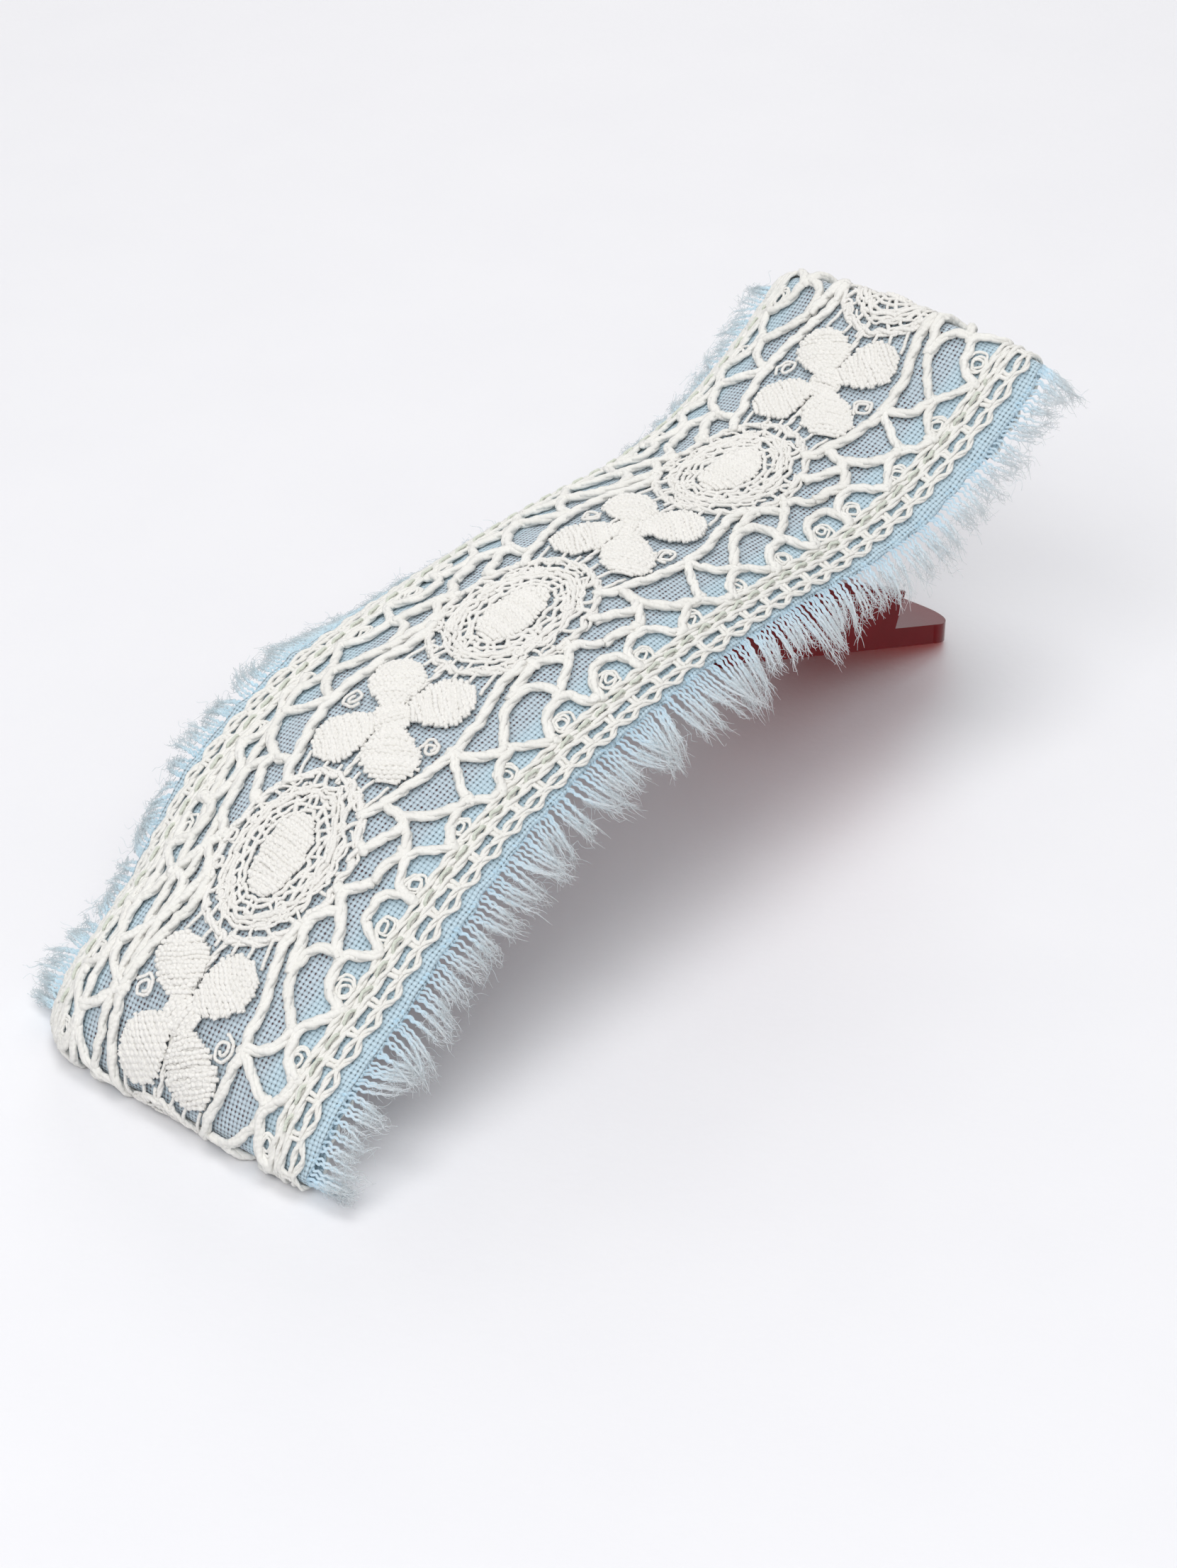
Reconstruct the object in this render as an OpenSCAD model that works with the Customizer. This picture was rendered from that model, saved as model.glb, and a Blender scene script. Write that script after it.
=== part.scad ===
// Beak hair clip with a cotton strip and a lace ribbon over its top blade.
// +X runs from the nose to the finger tab, +Y across the clip, +Z up.
// The clip stands on its nose fold and on the tip of the lower lever.

/* [Blade curve] */
// Slope of the blade at its nose, in degrees
nose_slope = 80; // [74:1:84]
// Length of the strongly bent nose stretch
nose_len = 10; // [9:0.5:11]
// Slope where the nose stretch ends, in degrees
rise_slope = 38; // [36:1:40]
// Length of the nearly straight rise behind the nose
rise_len = 16; // [15:0.5:17]
// Slope where the rise ends, in degrees
shoulder_slope = 31; // [29:1:33]
// Length of the shoulder between the rise and the back
shoulder_len = 16; // [15:0.5:17]
// Slope where the shoulder ends, in degrees
back_slope = 13; // [12:1:14]
// Length of the flat back over the hinge
back_len = 42; // [40:1:44]
// Slope at the lowest dip behind the hinge, in degrees
dip_slope = -4; // [-5:1:-3]
// Length of the finger tab that sweeps up behind the dip
tab_len = 34; // [33:1:36]
// Slope at the end of the finger tab, in degrees
tab_slope = 40; // [36:1:42]
// Radius of the crown across the blade and its covering
crown_r = 37; // [34:1:45]

/* [Blade] */
// Width of the blade
blade_w = 22; // [21:0.5:24]
// Width of the blade at its nose
blade_nose_w = 14; // [12:0.5:16]
// Thickness of the blade
blade_t = 2; // [1.8:0.1:2.2]
// Depth of the stiffening ribs under the blade's edges
rib_h = 0.8; // [0.4:0.1:0.9]

/* [Covering] */
// Width of the woven fabric strip without its fringes
fabric_w = 37; // [36:0.2:38]
// Thickness of the fabric
fabric_t = 0.3; // [0.25:0.05:0.35]
// Length of the frayed threads beyond each long edge
fringe_len = 5.8; // [4:0.2:7]
// Width of the lace ribbon
lace_w = 33; // [31:0.5:34]
// Thickness of the lace
lace_t = 0.8; // [0.6:0.1:0.9]
// Width of each of the lace's two border bands
border_w = 3.5; // [3:0.25:4.5]
// Length of one repeat of the lace pattern
repeat_len = 33.5; // [33:0.5:34.5]
// Distance from the nose to the middle of the first group of leaves
first_leaves = 7.3; // [7:0.1:8]
// Length of the covering that is folded under each end of the blade
hem_len = 9; // [7:0.5:9]

/* [Lower jaw] */
// Width of the gripping part of the lower jaw
jaw_w = 15; // [13:0.5:15]
// Width of the lever behind the hinge
lever_w = 18.4; // [18:0.1:18.8]
// Thickness of the lower jaw
jaw_t = 2.2; // [2:0.1:2.4]
// Slope of the lever, in degrees below the horizontal
lever_slope = 22.4; // [22:0.1:23]
// Height of the side walls over the lever's plate
wall_h = 4.2; // [3.6:0.2:4.8]

/* [Hinge] */
// Distance along the blade from its nose tip to the hinge pin
hinge_s = 82.6; // [81:0.2:84]
// Distance from the blade's middle layer down to the hinge pin
hinge_drop = 5; // [4.8:0.1:5.1]
// Radius of the hinge pin
pin_r = 1.2; // [1:0.05:1.3]
// Radial clearance of the pin in the lower jaw's ears
pin_clear = 0.05; // [0.02:0.01:0.09]
// Radius of the spring's wire
wire_r = 0.55; // [0.45:0.05:0.6]
// Mean radius of the spring's coil
coil_r = 2.2; // [2.1:0.05:2.25]
// Number of turns in the spring's coil
coil_turns = 5; // [4:1:6]

/* [Hidden] */

// Layers, as distances from the blade's middle layer
layer_gap = 0.03;
glue_t = 0.14;
blade_top = blade_t / 2;
glue_top = blade_top + layer_gap + glue_t;
fabric_low = glue_top + layer_gap;
fabric_top = fabric_low + fabric_t;
lace_low = fabric_top + layer_gap;
lace_top = lace_low + lace_t;
motif_low = lace_top + 0.1;
motif_top = motif_low + 0.35;
fold_r = lace_top;

// Stretches of the blade's middle layer: length, slope at the start, slope at the end
blade_runs = [
  [nose_len, nose_slope, rise_slope],
  [rise_len, rise_slope, shoulder_slope],
  [shoulder_len, shoulder_slope, back_slope],
  [back_len, back_slope, dip_slope],
  [tab_len, dip_slope, tab_slope]
];
blade_len = nose_len + rise_len + shoulder_len + back_len + tab_len;
crown_in_len = 17;
crown_at_tab = 0.7;
nose_step = 2;
back_step = 4;
across_step = 2.75;
fold_step = 30;

// Stretches of the lower jaw's middle layer
jaw_nose_s = 6;
jaw_nose_gap = 0.45;
jaw_runs = [
  [18, 32, 18],
  [20, 18, 6],
  [26, 6, -1],
  [6, -1, -lever_slope],
  [60, -lever_slope, -lever_slope]
];
jaw_step = 2;
lever_start_s = 70;

// Points and directions in the side view are [x, z] pairs
function unit(a) = [cos(a), sin(a)];
function normal(a) = [-sin(a), cos(a)];

// Move along one stretch of constant curvature
function run_slope(run, d) = run[1] + (run[2] - run[1]) * d / run[0];
function run_radius(run) = run[0] / ((run[2] - run[1]) * PI / 180);
function run_step(run, d) =
  abs(run[2] - run[1]) < 0.01
    ? d * unit(run[1])
    : run_radius(run) * (normal(run[1]) - normal(run_slope(run, d)));
function run_is_last(runs, d, i) = d <= runs[i][0] || i == len(runs) - 1;
function along(runs, d, i = 0) =
  run_is_last(runs, d, i)
    ? run_step(runs[i], d)
    : run_step(runs[i], runs[i][0]) + along(runs, d - runs[i][0], i + 1);
function slope_at(runs, d, i = 0) =
  run_is_last(runs, d, i) ? run_slope(runs[i], d) : slope_at(runs, d - runs[i][0], i + 1);

// The blade's middle layer, with the nose fold on the ground and its outer face at x = 0
blade_origin = [fold_r, fold_r];
function blade_point(s) = blade_origin + along(blade_runs, s);
function blade_slope(s) = slope_at(blade_runs, s);

// The crown fades out at the nose and weakens at the tab
function crown_share(s) =
  s < crown_in_len
    ? s / crown_in_len
    : lookup(s, [[blade_len - crown_in_len, 1], [blade_len, crown_at_tab]]);
function crown_k(s) = max(0.0001, crown_share(s) / crown_r);

// A frame of the covering's path: point, offset direction, crown direction, crown curvature
function top_frame(s) =
  [blade_point(s), normal(blade_slope(s)), normal(blade_slope(s)), crown_k(s)];
function under_frame(s) =
  [blade_point(s), -normal(blade_slope(s)), normal(blade_slope(s)), crown_k(s)];
function fold_frame(s, a, way) =
  [
    blade_point(s),
    cos(a) * normal(blade_slope(s)) + way * sin(a) * unit(blade_slope(s)),
    normal(blade_slope(s)),
    crown_k(s)
  ];
back_frames = ceil((blade_len - nose_len) / back_step);
stations = concat(
  [for (s = [0 : nose_step : nose_len - nose_step / 2]) s],
  [for (i = [0 : back_frames]) nose_len + i * (blade_len - nose_len) / back_frames]
);
top_path = [for (s = stations) top_frame(s)];
nose_wrap = concat(
  [for (s = [hem_len : -hem_len / 3 : 0.01]) under_frame(s)],
  [for (a = [180 : -fold_step : fold_step]) fold_frame(0, a, -1)]
);
tab_wrap = concat(
  [for (a = [fold_step : fold_step : 180]) fold_frame(blade_len, a, 1)],
  [for (s = [hem_len / 3 : hem_len / 3 : hem_len + 0.01]) under_frame(blade_len - s)]
);
wrap_path = concat(nose_wrap, top_path, tab_wrap);

// A point on a frame, t across the strip and h away from the blade's middle layer
function across(t, k) = sin(t * k * 180 / PI) / k;
function droop(t, k) = (1 - cos(t * k * 180 / PI)) / k;
function skin_point(f, t, h) =
  let (q = f[0] + h * f[1] - droop(t, f[3]) * f[2]) [q[0], across(t, f[3]), q[1]];
function spread(lo, hi, n) = [for (i = [0 : n]) lo + (hi - lo) * i / n];
// All layers are cut at the same distances across, so that their facets stay parallel
function cuts(lo, hi) =
  concat(
    [lo],
    [
      for (i = [ceil(lo / across_step) : floor(hi / across_step)])
        if (i * across_step > lo + 0.1 && i * across_step < hi - 0.1) i * across_step
    ],
    [hi]
  );
function reversed(v) = [for (i = [len(v) - 1 : -1 : 0]) v[i]];

// Close a tube of equal loops into one solid
module loops_solid(loops) {
  n = len(loops[0]);
  last = len(loops) - 1;
  points = [for (loop = loops) each loop];
  walls = [
    for (i = [0 : last - 1])
      for (j = [0 : n - 1])
        let (a = i * n + j, b = i * n + (j + 1) % n)
          each [[a, a + n, b], [b, a + n, b + n]]
  ];
  start_cap = [for (j = [1 : n - 2]) [0, j, j + 1]];
  end_cap = [for (j = [1 : n - 2]) [last * n, last * n + j + 1, last * n + j]];
  polyhedron(points, concat(start_cap, walls, end_cap));
}

// Like loops_solid, with caps for thin strips whose loop runs out over and back under.
// Upper and lower faces are cut along the same diagonals, mirrored left and right.
module strip_solid(loops) {
  n = len(loops[0]);
  half = n / 2;
  last = len(loops) - 1;
  points = [for (loop = loops) each loop];
  function is_left(j) = loops[0][j][1] + loops[0][(j + 1) % n][1] > 0;
  walls = [
    for (i = [0 : last - 1])
      for (j = [0 : n - 1])
        let (a = i * n + j, b = i * n + (j + 1) % n)
          each (j < half) == is_left(j)
            ? [[a, b, a + n], [b, b + n, a + n]]
            : [[a, b, b + n], [a, b + n, a + n]]
  ];
  caps = [
    for (j = [0 : half - 2])
      let (a = j, b = j + 1, c = n - 2 - j, d = n - 1 - j, e = last * n)
        each [[a, c, b], [a, d, c], [e + a, e + b, e + c], [e + a, e + c, e + d]]
  ];
  polyhedron(points, concat(walls, caps));
}

// A skin between two heights over the blade's middle layer
module skin(path, t_lo, t_hi, h_lo, h_hi) {
  ts = cuts(t_lo, t_hi);
  strip_solid([
    for (f = path)
      concat([for (t = ts) skin_point(f, t, h_hi)], [for (t = reversed(ts)) skin_point(f, t, h_lo)])
  ]);
}

// An oval patch that follows the skin, centred at [s, t] with half sizes along and across
module patch(s, t, half_s, half_t, turn, rings, sides, h_lo, h_hi) {
  function rim(q, a) =
    [
      s + q * (half_s * cos(a) * cos(turn) - half_t * sin(a) * sin(turn)),
      t + q * (half_s * cos(a) * sin(turn) + half_t * sin(a) * cos(turn))
    ];
  function on_skin(p, h) = skin_point(top_frame(min(p[0], blade_len)), p[1], h);
  function face_points(h) =
    concat(
      [on_skin([s, t], h)],
      [for (r = [1 : rings]) for (i = [0 : sides - 1]) on_skin(rim(r / rings, i * 360 / sides), h)]
    );
  size = 1 + rings * sides;
  function at(r, i) = 1 + (r - 1) * sides + (i % sides);
  top = concat(
    [for (i = [0 : sides - 1]) [0, at(1, i + 1), at(1, i)]],
    [
      for (r = [1 : 1 : rings - 1])
        for (i = [0 : sides - 1])
          each [[at(r, i), at(r, i + 1), at(r + 1, i + 1)], [at(r, i), at(r + 1, i + 1), at(r + 1, i)]]
    ]
  );
  low = [for (f = top) [f[0] + size, f[2] + size, f[1] + size]];
  wall = [
    for (i = [0 : sides - 1])
      let (a = at(rings, i), b = at(rings, i + 1))
        each [[a, b, b + size], [a, b + size, a + size]]
  ];
  polyhedron(concat(face_points(h_hi), face_points(h_lo)), concat(top, low, wall));
}

// Turn a side-view outline into a slab between two widths
module slab(y_lo, y_hi) {
  translate([0, y_hi, 0])
    rotate([90, 0, 0])
      linear_extrude(y_hi - y_lo)
        children();
}

// The hinge axis, and a cylinder along it
hinge = blade_point(hinge_s) - hinge_drop * normal(blade_slope(hinge_s));
module along_hinge(r, y_lo, y_hi) {
  translate([hinge[0], y_hi, hinge[1]])
    rotate([90, 0, 0])
      cylinder(h = y_hi - y_lo, r = r, $fn = 48);
}

// Both ears, or anything else that is the same on the left and the right
module both_sides() {
  children();
  mirror([0, 1, 0]) children();
}

// Upper jaw: a crowned blade with edge ribs, and two ears that hold the pin
ear_t = 1.8;
ear_in = 5.5;
ear_out = ear_in + ear_t;
ear_r = 3.2;
rib_w = 0.8;
nose_taper_len = 18;
tab_round_len = 8;
tab_w = 17;
function blade_half(s) =
  lookup(s, [
    [0, blade_nose_w / 2],
    [nose_taper_len, blade_w / 2],
    [blade_len - tab_round_len, blade_w / 2],
    [blade_len, tab_w / 2]
  ]);
// The ribs stop short of the covering that is folded under both ends
rib_fade = 6;
function rib_at(s) =
  let (from_end = min(s, blade_len - s))
    rib_h * lookup(from_end, [[hem_len + 1, 0.01], [hem_len + rib_fade, 1]]);
function blade_loop(s) =
  let (
    f = top_frame(s),
    w = blade_half(s),
    inner = w - rib_w,
    rib = rib_at(s),
    over = spread(-w, w, 8),
    under = [[w, rib], [inner, rib], [inner - 0.3, 0], [inner / 2, 0], [0, 0]],
    under_back = [[-inner / 2, 0], [0.3 - inner, 0], [-inner, rib], [-w, rib]]
  )
  concat(
    [for (t = over) skin_point(f, t, blade_top)],
    [for (p = concat(under, under_back)) skin_point(f, p[0], -blade_top - p[1])]
  );
module upper_ear_outline() {
  translate(hinge) circle(r = ear_r, $fn = 48);
  polygon([
    hinge + [-ear_r, 0],
    hinge + [ear_r, 0],
    hinge + [ear_r + 2, hinge_drop - 0.8],
    hinge + [-ear_r - 2, hinge_drop - 0.8]
  ]);
}
module upper_jaw() {
  color([0.36, 0.04, 0.07])
    difference() {
      union() {
        strip_solid([for (s = stations) blade_loop(s)]);
        both_sides() slab(ear_in, ear_out) upper_ear_outline();
      }
      along_hinge(pin_r, -lever_w, lever_w);
    }
}

// Lower jaw: a curved gripping jaw with ridges, ears on the pin, and a straight lever
jaw_half = jaw_t / 2;
jaw_nose_drop = fold_r + jaw_nose_gap + jaw_half;
jaw_origin = blade_point(jaw_nose_s) - jaw_nose_drop * normal(blade_slope(jaw_nose_s));
lever_half = lever_w / 2;
lever_wall_t = 1.4;
tip_corner_r = 5;
wall_end_back = 14.5;
outer_ear_r = 2.5;
ridge_h = 1.1;
ridge_base = 1.6;
ridge_count = 8;
ridge_pitch = 3.2;
function jaw_point(s, h) = jaw_origin + along(jaw_runs, s) + h * normal(slope_at(jaw_runs, s));
// The lever ends where its lower corner meets the ground
lever_drop = jaw_point(lever_start_s, 0)[1] - jaw_half * cos(lever_slope);
jaw_len = lever_start_s + lever_drop / sin(lever_slope);
jaw_tip_x = jaw_point(jaw_len, -jaw_half)[0];
module jaw_outline() {
  ss = concat([for (s = [0 : jaw_step : lever_start_s]) s], [jaw_len]);
  polygon(concat([for (s = ss) jaw_point(s, jaw_half)], [for (s = reversed(ss)) jaw_point(s, -jaw_half)]));
  translate(jaw_point(0, 0)) circle(r = jaw_half, $fn = 32);
}
module lever_wall_outline() {
  wall_end_s = jaw_len - wall_end_back;
  polygon([
    jaw_point(lever_start_s - 3, 0),
    jaw_point(wall_end_s, 0),
    jaw_point(wall_end_s, jaw_half + wall_h),
    hinge + outer_ear_r * normal(-lever_slope),
    hinge + outer_ear_r * unit(100),
    hinge + outer_ear_r * unit(150)
  ]);
  translate(hinge) circle(r = outer_ear_r, $fn = 48);
}
module jaw_plan() {
  front = jaw_origin[0] - jaw_half - 1;
  shoulder_x = jaw_point(lever_start_s - 4, 0)[0];
  straight_x = front + 16;
  polygon([
    [front, -jaw_w / 3],
    [straight_x, -jaw_w / 2],
    [shoulder_x, -jaw_w / 2],
    [shoulder_x, jaw_w / 2],
    [straight_x, jaw_w / 2],
    [front, jaw_w / 3]
  ]);
  translate([shoulder_x, -lever_half]) square([jaw_tip_x - tip_corner_r - shoulder_x, lever_w]);
  translate([shoulder_x, tip_corner_r - lever_half])
    square([jaw_tip_x + 2 - shoulder_x, lever_w - 2 * tip_corner_r]);
  for (y = [-1, 1])
    translate([jaw_tip_x + 0.8 - tip_corner_r, y * (lever_half - tip_corner_r)])
      circle(r = tip_corner_r, $fn = 64);
}
module ridge(s) {
  slab(-jaw_w / 4, jaw_w / 4)
    polygon([
      jaw_point(s - ridge_base / 2, jaw_half - 0.3),
      jaw_point(s + ridge_base / 2, jaw_half - 0.3),
      jaw_point(s, jaw_half + ridge_h)
    ]);
}
module lower_jaw() {
  color([0.42, 0.05, 0.08])
    difference() {
      union() {
        intersection() {
          slab(-lever_half, lever_half) jaw_outline();
          translate([0, 0, -1]) linear_extrude(50) jaw_plan();
        }
        both_sides() slab(lever_half - lever_wall_t, lever_half) lever_wall_outline();
        for (i = [1 : ridge_count]) ridge(i * ridge_pitch);
      }
      along_hinge(pin_r + pin_clear, -lever_w, lever_w);
    }
}

// Hinge pin with a riveted head at each end
pin_head_r = 1.6;
pin_head_t = 0.5;
pin_head_gap = 0.12;
module hinge_pin() {
  head_in = lever_half + pin_head_gap;
  color([0.75, 0.75, 0.77]) {
    along_hinge(pin_r, -head_in, head_in);
    both_sides() along_hinge(pin_head_r, head_in, head_in + pin_head_t);
  }
}

// Torsion spring: a coil round the pin and two legs that push the finger ends apart
wire_pitch = 2 * wire_r + 0.08;
coil_steps = 12;
wire_sides = 8;
upper_leg_len = 17;
lower_leg_len = 18;
upper_leg_slope = 5.5;
lower_leg_slope = -27;
leg_steps = 4;
function coil_angle(u) = 90 + upper_leg_slope + u * (coil_turns * 360 - 180 + lower_leg_slope - upper_leg_slope);
function coil_point(u) =
  let (a = coil_angle(u), q = hinge + coil_r * unit(a), w = (coil_turns - 0.5) * wire_pitch)
    [q[0], w * (u - 0.5), q[1]];
function leg_point(u, slope, d) =
  let (p = coil_point(u)) [p[0] + d * cos(slope), p[1], p[2] + d * sin(slope)];
spring_route = concat(
  [for (i = [leg_steps : -1 : 1]) leg_point(0, upper_leg_slope, i * upper_leg_len / leg_steps)],
  [for (i = [0 : coil_turns * coil_steps]) coil_point(i / (coil_turns * coil_steps))],
  [for (i = [1 : leg_steps]) leg_point(1, lower_leg_slope, i * lower_leg_len / leg_steps)]
);
function tangent(route, i) =
  let (d = route[min(i + 1, len(route) - 1)] - route[max(i - 1, 0)]) d / norm(d);
function wire_loop(route, i) =
  let (d = tangent(route, i), side = cross(d, [0, 1, 0]), b = side / norm(side), c = cross(d, b))
    [for (j = [0 : wire_sides - 1]) route[i] + wire_r * (cos(j * 360 / wire_sides) * b + sin(j * 360 / wire_sides) * c)];
module torsion_spring() {
  color([0.7, 0.7, 0.72])
    loops_solid([for (i = [0 : len(spring_route) - 1]) wire_loop(spring_route, i)]);
}

// Glue film between the blade and the fabric
glue_half = 2 * across_step;
module glue_layer() {
  color([0.9, 0.88, 0.8, 0.6])
    skin(
      [for (i = [1 : len(stations) - 2]) top_frame(stations[i])],
      -glue_half, glue_half, blade_top + layer_gap, glue_top
    );
}

// Woven strip, folded under the nose and under the tab
fabric_half = fabric_w / 2;
module fabric_strip() {
  color([0.66, 0.8, 0.87]) skin(wrap_path, -fabric_half, fabric_half, fabric_low, fabric_top);
}

// Frayed threads along the strip's long edges, as one thin band on each side
fringe_gap = 0.05;
module fringe_left() {
  edge = fabric_half + fringe_gap;
  color([0.85, 0.92, 0.95]) skin(top_path, edge, edge + fringe_len, fabric_low, fabric_top);
}
module fringe_right() { mirror([0, 1, 0]) fringe_left(); }

// Lace ribbon: open ground in the middle, a border band on each side
border_in = lace_w / 2 - border_w;
lace_joint = 0.05;
module lace_ground() {
  color([0.94, 0.93, 0.89])
    skin(wrap_path, lace_joint - border_in, border_in - lace_joint, lace_low, lace_top);
}
module lace_border_left() {
  color([0.95, 0.94, 0.9]) skin(wrap_path, border_in, lace_w / 2, lace_low, lace_top);
}
module lace_border_right() { mirror([0, 1, 0]) lace_border_left(); }

// Raised oval medallions and four-leaf groups, which take turns along the ribbon
medallion_half_s = 8.6;
medallion_half_t = 5.4;
leaf_half_len = 3.7;
leaf_half_w = 1.9;
leaf_reach = 4.7;
leaf_turns = [36, 144, 216, 324];
motif_count = floor((blade_len - first_leaves) / repeat_len) + 1;
function leaves_s(i) = first_leaves + i * repeat_len;
function medallion_s(i) = leaves_s(i) + repeat_len / 2;
module lace_medallions() {
  color([0.97, 0.96, 0.92])
    for (i = [0 : motif_count - 1])
      if (medallion_s(i) + medallion_half_s < blade_len)
        patch(medallion_s(i), 0, medallion_half_s, medallion_half_t, 0, 3, 20, motif_low, motif_top);
}
module lace_leaves() {
  color([0.98, 0.97, 0.94])
    for (i = [0 : motif_count - 1])
      for (a = leaf_turns)
        patch(
          leaves_s(i) + leaf_reach * cos(a), leaf_reach * sin(a),
          leaf_half_len, leaf_half_w, a, 2, 12, motif_low, motif_top
        );
}

// Running stitches that hold the lace to the fabric along its borders
stitch_t = lace_w / 2 - 2.1;
stitch_len = 1.6;
stitch_w = 0.4;
stitch_pitch = 2.6;
stitch_h = 0.25;
stitch_gap = 0.18;
stitch_margin = 3;
module stitch(s, side) {
  f = top_frame(s);
  p = skin_point(f, side * stitch_t, lace_top + stitch_gap + stitch_h / 2);
  translate(p)
    rotate([0, -blade_slope(s), 0])
      rotate([-side * stitch_t * f[3] * 180 / PI, 0, 0])
        cube([stitch_len, stitch_w, stitch_h], center = true);
}
module stitching(side) {
  color([0.8, 0.82, 0.74])
    for (s = [stitch_margin : stitch_pitch : blade_len - stitch_margin]) stitch(s, side);
}
module stitching_left() { stitching(1); }
module stitching_right() { stitching(-1); }

// Put the origin under the middle of the clip, from the raised leaves to the tab fold or the lever
nose_x = fold_r - motif_top * sin(nose_slope);
tab_droop = droop(lace_w / 2, crown_k(blade_len));
tab_x = blade_point(blade_len)[0] + fold_r + tab_droop * sin(tab_slope);
lever_x = jaw_point(jaw_len, jaw_half)[0];
middle_x = (nose_x + max(tab_x, lever_x)) / 2;
module placed() {
  translate([-middle_x, 0, 0]) children();
}

placed() upper_jaw();
placed() lower_jaw();
placed() hinge_pin();
placed() torsion_spring();
placed() glue_layer();
placed() fabric_strip();
placed() fringe_left();
placed() fringe_right();
placed() lace_ground();
placed() lace_border_left();
placed() lace_border_right();
placed() lace_medallions();
placed() lace_leaves();
placed() stitching_left();
placed() stitching_right();
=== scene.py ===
import math

import bpy
import numpy as np
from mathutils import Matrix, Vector


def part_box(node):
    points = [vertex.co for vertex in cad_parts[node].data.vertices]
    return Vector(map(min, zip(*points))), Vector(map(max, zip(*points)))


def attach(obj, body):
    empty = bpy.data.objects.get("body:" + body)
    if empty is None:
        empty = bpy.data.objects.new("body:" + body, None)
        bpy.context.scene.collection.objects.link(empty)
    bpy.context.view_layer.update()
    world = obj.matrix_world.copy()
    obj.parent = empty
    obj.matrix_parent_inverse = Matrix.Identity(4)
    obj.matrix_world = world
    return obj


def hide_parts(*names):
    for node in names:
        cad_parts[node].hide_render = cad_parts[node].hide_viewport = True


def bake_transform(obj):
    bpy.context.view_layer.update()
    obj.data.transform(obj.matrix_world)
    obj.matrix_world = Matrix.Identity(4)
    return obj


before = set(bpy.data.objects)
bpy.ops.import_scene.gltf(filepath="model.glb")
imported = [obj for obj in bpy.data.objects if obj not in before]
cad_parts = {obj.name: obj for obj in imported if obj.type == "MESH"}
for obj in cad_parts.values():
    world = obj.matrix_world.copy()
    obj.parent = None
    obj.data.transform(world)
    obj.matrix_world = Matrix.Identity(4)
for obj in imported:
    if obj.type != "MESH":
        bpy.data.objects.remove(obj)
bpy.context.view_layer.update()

MM = 0.001

# ---------------------------------------------------------------------------
# The curve that the blade and its covering follow, in mm, as the CAD has it
# ---------------------------------------------------------------------------
# Each run of the blade: its length, then its slope in degrees at its start and its end
RUNS = ((10, 80, 38), (16, 38, 31), (16, 31, 13), (42, 13, -4), (34, -4, 40))
BLADE_LEN = 118.0
CROWN_R = 37.0  # radius of the covering's arch from side to side
CROWN_IN = 17.0  # the arch grows and fades over this length at the ends
CROWN_AT_TAB = 0.7  # share of the arch that is left at the finger tab
FOLD_R = 2.33  # outer radius of the fold at the nose
FOLD_MID = 1.9  # radius of the covering's middle in both folds
HEM_LEN = 8.5  # how far the covering runs on under each end
HINGE_S = 82.6  # the hinge's distance from the nose, along the blade
HINGE_DROP = 5.0  # and its depth under the blade's middle layer
FABRIC_HALF = 18.1  # the weave's half width before it is trimmed by weave_edge
FABRIC_LOW = 1.2
FABRIC_TOP = 1.5
SAG_FROM = 10.5  # distance from the middle where the left side starts to sag
SAG_OVER = 6.0
TAIL_FROM = 86.0  # past here the covering drifts to the right
TAIL_LEN = 32.0
TAIL_DRIFT = 1.8  # the drift at the tail's end
# The covering's two ends, by distance along it from the nose
LAY_START = -(math.pi * FOLD_MID + HEM_LEN)
LAY_END = BLADE_LEN - LAY_START


def middle(s):
    """Point and slope of the blade's middle layer at a distance from its nose."""
    s = np.asarray(s, float)
    x, z, slope = np.zeros_like(s), np.zeros_like(s), np.zeros_like(s)
    px, pz, start = FOLD_R, FOLD_R, 0.0
    for i, (length, low, high) in enumerate(RUNS):
        a0, a1 = math.radians(low), math.radians(high)
        k = (a1 - a0) / length
        here = s >= start if i else np.ones(s.shape, bool)
        a = a0 + k * (s - start)
        x = np.where(here, px + (np.sin(a) - math.sin(a0)) / k, x)
        z = np.where(here, pz + (math.cos(a0) - np.cos(a)) / k, z)
        slope = np.where(here, a, slope)
        px += (math.sin(a1) - math.sin(a0)) / k
        pz += (math.cos(a0) - math.cos(a1)) / k
        start += length
    return x, z, slope


hinge_x, hinge_z, hinge_slope = (float(v) for v in middle(HINGE_S))
hinge_x += HINGE_DROP * math.sin(hinge_slope)
hinge_z -= HINGE_DROP * math.cos(hinge_slope)
PIN_LOW, PIN_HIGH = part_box("hinge_pin")
SHIFT_X = (PIN_LOW.x + PIN_HIGH.x) / 2 / MM - hinge_x


def wobble(x, seed, wavelength):
    """Smooth repeatable noise between about -1 and 1."""
    rng = np.random.default_rng(seed)
    x = np.asarray(x, float)
    total = 0.0
    for share in (1.0, 0.6, 0.37):
        phase = rng.uniform(0, 2 * math.pi)
        length = wavelength * share * rng.uniform(0.8, 1.2)
        total = total + np.sin(2 * math.pi * x / length + phase)
    return total / 2.2


def weave_edge(u, side):
    """How far the weave reaches from the middle before it frays, on one side."""
    right_at = (-5, 4, 28, 46, 84, 100, 117, 124)
    right = np.interp(u, right_at, (16.9, 18.1, 18.0, 17.1, 17.1, 18.3, 18.3, 16.8))
    left = np.interp(u, (-5, 4, 60, 117, 124), (16.9, 18.3, 18.0, 18.2, 16.8))
    return np.where(side < 0, right, left) + 0.12 * wobble(u, 13 + int(side > 0), 7.0)


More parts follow.
